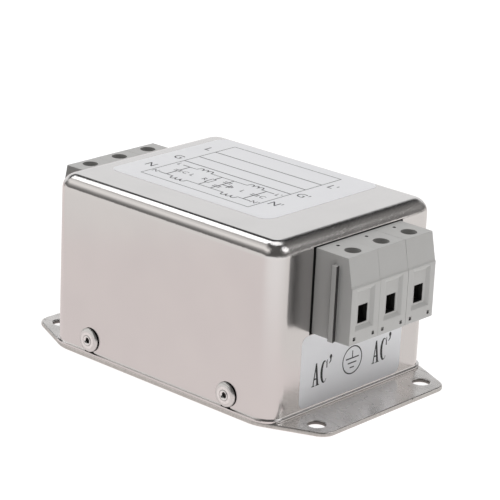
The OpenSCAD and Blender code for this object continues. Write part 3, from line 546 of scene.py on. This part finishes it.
def buildLabel(name, node, facing, corner):
    low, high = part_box(node)
    facing = Vector(facing)
    bm = bmesh.new()
    bmesh.ops.create_cube(bm, size=1)
    bmesh.ops.scale(bm, verts=bm.verts[:], vec=high - low)
    bmesh.ops.translate(bm, verts=bm.verts[:], vec=(high + low) / 2)
    back = min(v.co.dot(facing) for v in bm.verts)
    front = back + label["thickness"] * mm
    for vert in bm.verts:
        if vert.co.dot(facing) > back + tiny:
            vert.co += facing * (front - vert.co.dot(facing))
    corners = [e for e in bm.edges if abs((e.verts[1].co - e.verts[0].co).normalized().dot(facing)) > 0.9]
    bevel(bm, corners, corner, label["cornerSteps"])
    rim = [e for e in bm.edges if min(v.co.dot(facing) for v in e.verts) > front - tiny / 2]
    bevel(bm, rim, label["rim"], 2)
    finishPiece(name, bm, "label", replaced=[node])


def addInk(bm, curve, place):  # a curve as a thin skin of ink, its own place in its mesh
    pen = bpy.data.objects.new("pen", curve)
    bpy.context.scene.collection.objects.link(pen)
    mesh = bpy.data.meshes.new_from_object(pen.evaluated_get(bpy.context.evaluated_depsgraph_get()))
    high = max(abs(v.co.z) for v in mesh.vertices)
    mesh.transform(place @ Matrix.Diagonal((1, 1, label["ink"] * mm / high, 1)))
    bm.from_mesh(mesh)
    bpy.data.objects.remove(pen)
    bpy.data.meshes.remove(mesh)
    bpy.data.curves.remove(curve)


def addSplines(curve, lines, closed):
    for points in lines:
        spline = curve.splines.new("POLY")
        spline.points.add(len(points) - 1)
        spline.use_cyclic_u = closed
        for knot, (u, v) in zip(spline.points, points):
            knot.co = (u * mm, v * mm, 0, 1)


def inkLines(bm, lines, width, place, closed=False):
    curve = bpy.data.curves.new("pen", "CURVE")
    curve.dimensions = "3D"
    curve.bevel_depth = width / 2 * mm
    curve.bevel_resolution = 1
    curve.use_fill_caps = not closed
    addSplines(curve, lines, closed)
    addInk(bm, curve, place)


def inkShape(bm, outlines, place):
    curve = bpy.data.curves.new("pen", "CURVE")
    curve.dimensions = "2D"
    curve.fill_mode = "BOTH"
    curve.extrude = tiny
    addSplines(curve, outlines, True)
    addInk(bm, curve, place)


def inkText(bm, body, tall, at, place):
    curve = bpy.data.curves.new("pen", "FONT")
    curve.body = body
    curve.size = tall / 0.72 * mm  # a capital is about 0.72 of the size
    curve.align_x = curve.align_y = "CENTER"
    curve.extrude = tiny
    addInk(bm, curve, place @ Matrix.Translation((at[0] * mm, at[1] * mm, 0)))


def arc(cx, cy, rx, ry, start, end, steps=12):
    turns = [math.radians(start + (end - start) * i / steps) for i in range(steps + 1)]
    return [(cx + rx * math.cos(a), cy + ry * math.sin(a)) for a in turns]


def facePlace(origin, u, v):  # u runs to the reader's right and v up, on a face that looks at them
    u, v = Vector(u), Vector(v)
    return Matrix.Translation(origin) @ Matrix((u, v, u.cross(v))).transposed().to_4x4()


# The top label: a ruled frame, a filter's circuit in its lowest row and a letter at each terminal
topPrint = {"left": -23.6, "right": 12.4, "foot": -12.2, "head": 22, "rules": (14.7, 8.6, 3.2), "line": 0.34,
            "letters": (15.4, 4.3, -5.7), "letterOut": (3, 2.8), "tall": 2.7, "smallTall": 1.7}
circuit = {"live": 0.2, "neutral": -8.4, "start": -21, "stop": 9.6, "nameOut": 1.3,
           "coils": (-13.9, 3.1), "hump": 0.8, "humpH": 1.5, "humpSteps": 8,
           "capacitors": (-18.6, 7.2), "plate": 1.2, "gap": 0.8, "resistor": -7.6, "resistorSize": (0.6, 1.5),
           "earthed": -3.6, "earthedOff": 2, "earthOut": 2.2, "earthStep": 0.55, "earthBars": (1.2, 0.8, 0.4),
           "marks": (("C", -16.2), ("L", -13.9), ("R", -9.6), ("L", 3.1), ("C", 9.6))}


def circuitLines(mid):
    c = circuit
    lines = []
    for level, up in ((c["live"], 1), (c["neutral"], -1)):
        run = [(c["start"], level)]
        for middle in c["coils"]:
            for k in (-1, 0, 1):
                run += arc(middle + 2 * k * c["hump"], level, c["hump"], up * c["humpH"], 180, 0, c["humpSteps"])
        lines.append(run + [(c["stop"], level)])

    def capacitor(x, at, high, low):
        for y, toward in ((at + c["gap"] / 2, high), (at - c["gap"] / 2, low)):
            lines.append([(x, toward), (x, y)])
            lines.append([(x - c["plate"], y), (x + c["plate"], y)])

    for x in c["capacitors"]:
        capacitor(x, mid, c["live"], c["neutral"])
    x = c["resistor"]
    wide, high = c["resistorSize"]
    lines.append([(x, c["live"]), (x, mid + high)])
    lines.append([(x, mid - high), (x, c["neutral"])])
    lines.append([(x - wide, mid - high), (x + wide, mid - high), (x + wide, mid + high), (x - wide, mid + high),
                  (x - wide, mid - high)])
    x = c["earthed"]
    capacitor(x, mid + c["earthedOff"], c["live"], mid)
    capacitor(x, mid - c["earthedOff"], mid, c["neutral"])
    x += c["earthOut"]
    lines.append([(c["earthed"], mid), (x, mid)])
    for k, half in enumerate(c["earthBars"]):
        lines.append([(x + c["earthStep"] * k, mid - half), (x + c["earthStep"] * k, mid + half)])
    return lines


def printTop():
    p, c = topPrint, circuit
    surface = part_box("top_label")[0].z + (label["thickness"] + label["ink"]) * mm
    place = facePlace((0, 0, surface), (1, 0, 0), (0, 1, 0))
    mid = (c["live"] + c["neutral"]) / 2
    bm = bmesh.new()
    frameLine = [(p["left"], p["foot"]), (p["right"], p["foot"]), (p["right"], p["head"]), (p["left"], p["head"])]
    inkLines(bm, [frameLine], p["line"], place, closed=True)
    inkLines(bm, [[(p["left"], y), (p["right"], y)] for y in p["rules"]], p["line"], place)
    inkLines(bm, circuitLines(mid), p["line"], place)
    for letter, y in zip("LGN", p["letters"]):
        inkText(bm, letter, p["tall"], (p["left"] - p["letterOut"][0], y), place)
        inkText(bm, letter + "'", p["tall"], (p["right"] + p["letterOut"][1], y), place)
    for after, x in (("", c["start"] - c["nameOut"]), ("'", c["stop"] + c["nameOut"])):
        for letter, y in (("L", c["live"]), ("N", c["neutral"])):
            inkText(bm, letter + after, p["smallTall"], (x, y), place)
    for letter, x in c["marks"]:
        inkText(bm, letter, p["smallTall"], (x, mid), place)
    finishPiece("topPrint", bm, "label", ink)


# The end labels: alternating current beside each outer terminal and the earth sign between them.
# The letters are narrow and fat on one side, with fine feet
letterA = [[(0, 0), (0.38, 0), (0.38, 0.04), (0.26, 0.04), (0.34, 0.28), (0.58, 0.28), (0.63, 0.04), (0.52, 0.04),
            (0.52, 0), (1, 0), (1, 0.04), (0.9, 0.04), (0.6, 1), (0.44, 1), (0.13, 0.04), (0, 0.04)],
           [(0.36, 0.34), (0.56, 0.34), (0.46, 0.68)]]
letterC = [arc(0.5, 0.5, 0.5, 0.5, 40, 318) + arc(0.6, 0.5, 0.29, 0.45, 312, 48)
           + [(0.8, 0.64), (0.93, 0.64), (0.93, 0.99), (0.86, 0.99), (0.84, 0.94)]]
tick = [arc(0.6, 0.74, 0.4, 0.26, -50, 200, 10)
        + [(0.38, 0.55), (0.48, 0.35), (0.05, 0.04), (0.14, 0), (0.75, 0.22)]]
endPrint = {"starts": (-14.4, 7.8), "letterZ": 6.9, "letterH": 5.8, "aWidth": 2.7, "cAfter": 3, "cWidth": 2.6,
            "tickAfter": 5.9, "tickWidth": 1.1, "tickZ": 11.4, "tickH": 2.3, "line": 0.32,
            "ringAt": (0.25, 10.1), "ringR": 3.5, "ringSteps": 48, "stem": 12.5,
            "bars": ((10.6, 2.4), (9.4, 1.6), (8.2, 0.8))}


def printEnd(end, side):
    p = endPrint
    low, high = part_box(f"{end}_label")
    surface = (min(abs(low.x), abs(high.x)) + (label["thickness"] + label["ink"]) * mm) * side
    place = facePlace((surface, 0, 0), (0, side, 0), (0, 0, 1))
    bm = bmesh.new()
    for start in p["starts"]:
        for outlines, at, wide, z, tall in ((letterA, 0, p["aWidth"], p["letterZ"], p["letterH"]),
                                            (letterC, p["cAfter"], p["cWidth"], p["letterZ"], p["letterH"]),
                                            (tick, p["tickAfter"], p["tickWidth"], p["tickZ"], p["tickH"])):
            inkShape(bm, [[(start + at + u * wide, z + v * tall) for u, v in line] for line in outlines], place)
    cx, cz = p["ringAt"]
    ring = arc(cx, cz, p["ringR"], p["ringR"], 0, 360, p["ringSteps"])[:-1]
    inkLines(bm, [ring], p["line"], place, closed=True)
    strokes = [[(cx - half, z), (cx + half, z)] for z, half in p["bars"]]
    inkLines(bm, strokes + [[(cx, p["stem"]), (cx, p["bars"][0][0])]], p["line"], place)
    finishPiece(f"{end}Print", bm, "label", boldInk)


buildLabel("topLabel", "top_label", (0, 0, 1), label["topCorner"])
printTop()
for end, side in (("line", -1), ("load", 1)):
    buildLabel(f"{end}Label", f"{end}_label", (side, 0, 0), label["endCorner"])
    printEnd(end, side)
print("labels built")


# The stage: a pale floor, soft light and a world that metal sees as a studio. The floor shows metal
# other tones than it shows the eye, and each edge between them is a level direction and two distances
floorLook = {"toEye": 0.93, "paper": 0.2, "frontTint": "FBF1EF", "farTint": "F6F1EE", "nearTint": "FDFBFA",
             "nearGain": 1.15, "farGain": 0.3, "cornerGain": 0.5, "frontBounce": 0.04, "backBounce": 1.36,
             "bounceEdge": ((0.8, 0.6, 0), -0.004, 0.016), "farEdge": ((0.63, 0.71, 0), 0.03, 0.055),
             "nearEdge": ((0.67, -0.74, 0), 0.05, 0.2), "tableEdge": ((-0.63, -0.7, 0), 0.3, 0.7),
             "cornerEdge": ((0.63, 0.71, 0), 0.22, 0.5)}


def along(tree, place, direction, start, end, low, high):  # a value that grows from start to end, in metres
    way = add(tree, "ShaderNodeVectorMath", {0: place, 1: direction}, operation="DOT_PRODUCT").outputs["Value"]
    return add(tree, "ShaderNodeMapRange", {"Value": way, "From Min": start, "From Max": end, "To Min": low,
                                            "To Max": high}, interpolation_type="SMOOTHSTEP").outputs["Result"]


def emptyMaterial(name):
    material = bpy.data.materials.new(name)
    material.use_nodes = True
    material.node_tree.nodes.clear()
    return material, material.node_tree


# A flat piece of the stage, one metre square before its place is applied
def stagePiece(name, place, material):
    mesh = bpy.data.meshes.new(name)
    bm = bmesh.new()
    bmesh.ops.create_grid(bm, x_segments=1, y_segments=1, size=0.5)
    bm.transform(place)
    bm.to_mesh(mesh)
    bm.free()
    mesh.materials.append(material)
    piece = bpy.data.objects.new(name, mesh)
    bpy.context.scene.collection.objects.link(piece)


def buildFloor():
    material, tree = emptyMaterial("paperFloor")
    path = add(tree, "ShaderNodeLightPath").outputs
    place = add(tree, "ShaderNodeTexCoord").outputs["Object"]
    f = floorLook
    glow = add(tree, "ShaderNodeEmission", {"Color": (1, 1, 1, 1), "Strength": f["toEye"]})
    paper = add(tree, "ShaderNodeBsdfDiffuse", {"Color": (f["paper"], f["paper"], f["paper"], 1)})
    pale = add(tree, "ShaderNodeAddShader", {0: glow, 1: paper})
    bounceTone = along(tree, place, *f["bounceEdge"], f["frontBounce"], f["backBounce"])
    bounce = add(tree, "ShaderNodeEmission", {"Color": (1, 1, 1, 1), "Strength": bounceTone})
    seen = add(tree, "ShaderNodeMath", {0: path["Is Camera Ray"], 1: path["Is Transmission Ray"]},
               operation="MAXIMUM")
    toEye = add(tree, "ShaderNodeMixShader", {0: seen, 1: bounce, 2: pale})
    near = along(tree, place, *f["nearEdge"], 0, 1)
    tint = mixed(tree, along(tree, place, *f["farEdge"], 0, 1), f["frontTint"], f["farTint"])
    tint = mixed(tree, near, tint, f["nearTint"])
    strength = add(tree, "ShaderNodeMapRange", {"Value": near, "To Min": 1, "To Max": f["nearGain"]})
    for edge, gain in (("tableEdge", "farGain"), ("cornerEdge", "cornerGain")):
        fall = along(tree, place, *f[edge], 1, f[gain])
        strength = add(tree, "ShaderNodeMath", {0: strength, 1: fall}, operation="MULTIPLY")
    mirror = add(tree, "ShaderNodeEmission", {"Color": tint, "Strength": strength})
    toMetal = add(tree, "ShaderNodeMixShader", {0: path["Is Glossy Ray"], 1: toEye, 2: mirror})
    add(tree, "ShaderNodeOutputMaterial", {"Surface": toMetal})
    stagePiece("floor", Matrix.Scale(6, 4), material)


# Two low white cards beside the table that only metal sees, to light the can's foot and its flanges
cards = {"wide": 0.16, "tall": 0.05, "level": 1, "tint": "FFFBF8", "across": (-0.74, 0.67, 0),
         "places": {"rightCard": (0.113, 0.081), "leftCard": (-0.073, -0.11)}}


def buildCards():
    material, tree = emptyMaterial("whiteCard")
    path = add(tree, "ShaderNodeLightPath").outputs
    clear = add(tree, "ShaderNodeBsdfTransparent")
    white = add(tree, "ShaderNodeEmission", {"Color": linear(cards["tint"]), "Strength": cards["level"]})
    shown = add(tree, "ShaderNodeMixShader", {0: path["Is Glossy Ray"], 1: clear, 2: white})
    add(tree, "ShaderNodeOutputMaterial", {"Surface": shown})
    shape = Matrix.Diagonal((cards["wide"], cards["tall"], 1, 1))
    for name, (x, y) in cards["places"].items():
        upright = facePlace((x, y, cards["tall"] / 2 + mm), cards["across"], (0, 0, 1))
        stagePiece(name, upright @ shape, material)


# What metal sees, by the height of the direction (its sine): a white screen low behind to the left,
# dimmer room everywhere else
studio = {"backLeft": [(0, 0.97), (0.375, 0.97), (0.44, 0.04), (0.74, 0.04), (1, 0.1)],
          "backRight": [(0, 0.2), (0.14, 0.2), (0.26, 0.18), (0.34, 0.23), (0.44, 0.34), (0.56, 0.32),
                        (0.68, 0.18), (0.72, 0.08), (1, 0.08)],
          "frontLeft": [(0, 0.2), (0.19, 0.2), (0.29, 0.27), (0.375, 0.42), (0.454, 0.7), (0.53, 1.0), (0.6, 1.15),
                        (0.72, 0.85), (0.87, 0.12), (1, 0.1)],
          "frontRight": [(0, 0.2), (0.3, 0.12), (1, 0.12)],
          "backSplit": (-0.3, 0.05), "frontSplit": (-0.15, 0.1), "split": (-0.2, 0.05), "warmth": (1, 0.97, 0.94),
          "ambient": 0.52, "ambientSlope": (-0.52, 0.5, 0.55), "ambientLeast": 0.03}


def buildWorld():
    world = bpy.data.worlds.new("studio")
    bpy.context.scene.world = world
    world.use_nodes = True
    tree = world.node_tree
    tree.nodes.clear()
    path = add(tree, "ShaderNodeLightPath").outputs
    way = add(tree, "ShaderNodeTexCoord").outputs["Generated"]
    up = add(tree, "ShaderNodeSeparateXYZ", {0: way}).outputs["Z"]
    tones = {}
    for region in ("backLeft", "backRight", "frontLeft", "frontRight"):
        ramp = add(tree, "ShaderNodeValToRGB", {0: up})
        elements = ramp.color_ramp.elements
        while len(elements) < len(studio[region]):
            elements.new(0.5)
        warmth = (1, 1, 1) if region == "backLeft" else studio["warmth"]
        for element, (height, tone) in zip(elements, studio[region]):
            element.position = height
            element.color = [tone * w for w in warmth] + [1]
        tones[region] = ramp.outputs[0]
    toRight = along(tree, way, (1, 0, 0), *studio["backSplit"], 0, 1)
    back = mixed(tree, toRight, tones["backLeft"], tones["backRight"])
    toRight = along(tree, way, (1, 0, 0), *studio["frontSplit"], 0, 1)
    front = mixed(tree, toRight, tones["frontLeft"], tones["frontRight"])
    around = mixed(tree, along(tree, way, (0, 1, 0), *studio["split"], 0, 1), front, back)
    toMetal = add(tree, "ShaderNodeBackground", {"Color": around, "Strength": 1})
    slope = add(tree, "ShaderNodeVectorMath", {0: way, 1: studio["ambientSlope"]}, operation="DOT_PRODUCT")
    level = add(tree, "ShaderNodeMath", {0: slope.outputs["Value"], 1: studio["ambient"]})
    level = add(tree, "ShaderNodeMath", {0: level, 1: studio["ambientLeast"]}, operation="MAXIMUM")
    soft = add(tree, "ShaderNodeBackground", {"Color": (1, 1, 1, 1), "Strength": level})
    white = add(tree, "ShaderNodeBackground", {"Color": (1, 1, 1, 1), "Strength": 1})
    toObject = add(tree, "ShaderNodeMixShader", {0: path["Is Glossy Ray"], 1: soft, 2: toMetal})
    seen = add(tree, "ShaderNodeMath", {0: path["Is Camera Ray"], 1: path["Is Transmission Ray"]},
               operation="MAXIMUM")
    final = add(tree, "ShaderNodeMixShader", {0: seen, 1: toObject, 2: white})
    add(tree, "ShaderNodeOutputWorld", {"Surface": final})


# The lamps stand at these angles and distances from a point just over the floor. Two only shine on
# gloss, as the bright spots in the can's edges
softboxes = {"leftSoftbox": {"azimuth": 167, "elevation": 49, "distance": 0.9, "wide": 0.42, "high": 0.24,
                             "radiance": 2.2, "onlyShine": False},
             "highLight": {"azimuth": 129, "elevation": 72, "distance": 0.9, "wide": 0.6, "high": 0.6,
                           "radiance": 1.5, "onlyShine": True},
             "rightLight": {"azimuth": 24, "elevation": 43, "distance": 0.9, "wide": 0.52, "high": 0.52,
                            "radiance": 1.7, "onlyShine": True}}
softboxAim = Vector((0, 0, 0.02))


def addSoftbox(name, azimuth, elevation, distance, wide, high, radiance, onlyShine):
    light = bpy.data.lights.new(name, "AREA")
    light.shape = "ELLIPSE" if onlyShine else "RECTANGLE"
    light.size, light.size_y = wide, high
    light.energy = radiance * math.pi * wide * high * (math.pi / 4 if onlyShine else 1)
    box = bpy.data.objects.new(name, light)
    bpy.context.scene.collection.objects.link(box)
    a, e = math.radians(azimuth), math.radians(elevation)
    toward = Vector((math.cos(a) * math.cos(e), math.sin(a) * math.cos(e), math.sin(e)))
    box.location = toward * distance + softboxAim
    box.rotation_euler = toward.to_track_quat("Z", "Y").to_euler()
    box.visible_diffuse = not onlyShine


buildFloor()
buildWorld()
buildCards()
for name, box in softboxes.items():
    addSoftbox(name, **box)

camera = {"azimuth": 41.717, "elevation": 18.986, "roll": 2.691, "lens": 163.83, "sensor": 36,
          "place": (0.35497, -0.39595, 0.21192), "shift": (0.0049, -0.0059)}


def buildCamera():
    az, el, roll = (math.radians(camera[name]) for name in ("azimuth", "elevation", "roll"))
    ahead = Vector((-math.sin(az) * math.cos(el), math.cos(az) * math.cos(el), -math.sin(el)))
    right = Vector((math.cos(az), math.sin(az), 0))
    up = right.cross(ahead)
    turnedRight = right * math.cos(roll) + up * math.sin(roll)
    turnedUp = up * math.cos(roll) - right * math.sin(roll)
    lens = bpy.data.cameras.new("productCamera")
    lens.lens, lens.sensor_width = camera["lens"], camera["sensor"]
    lens.shift_x, lens.shift_y = camera["shift"]
    lens.clip_start = 0.01
    eye = bpy.data.objects.new("productCamera", lens)
    bpy.context.scene.collection.objects.link(eye)
    turn = Matrix((turnedRight, turnedUp, -ahead)).transposed().to_4x4()
    eye.matrix_world = Matrix.Translation(camera["place"]) @ turn
    bpy.context.scene.camera = eye


buildCamera()
bpy.context.scene.view_settings.view_transform = "Standard"
print("stage set")
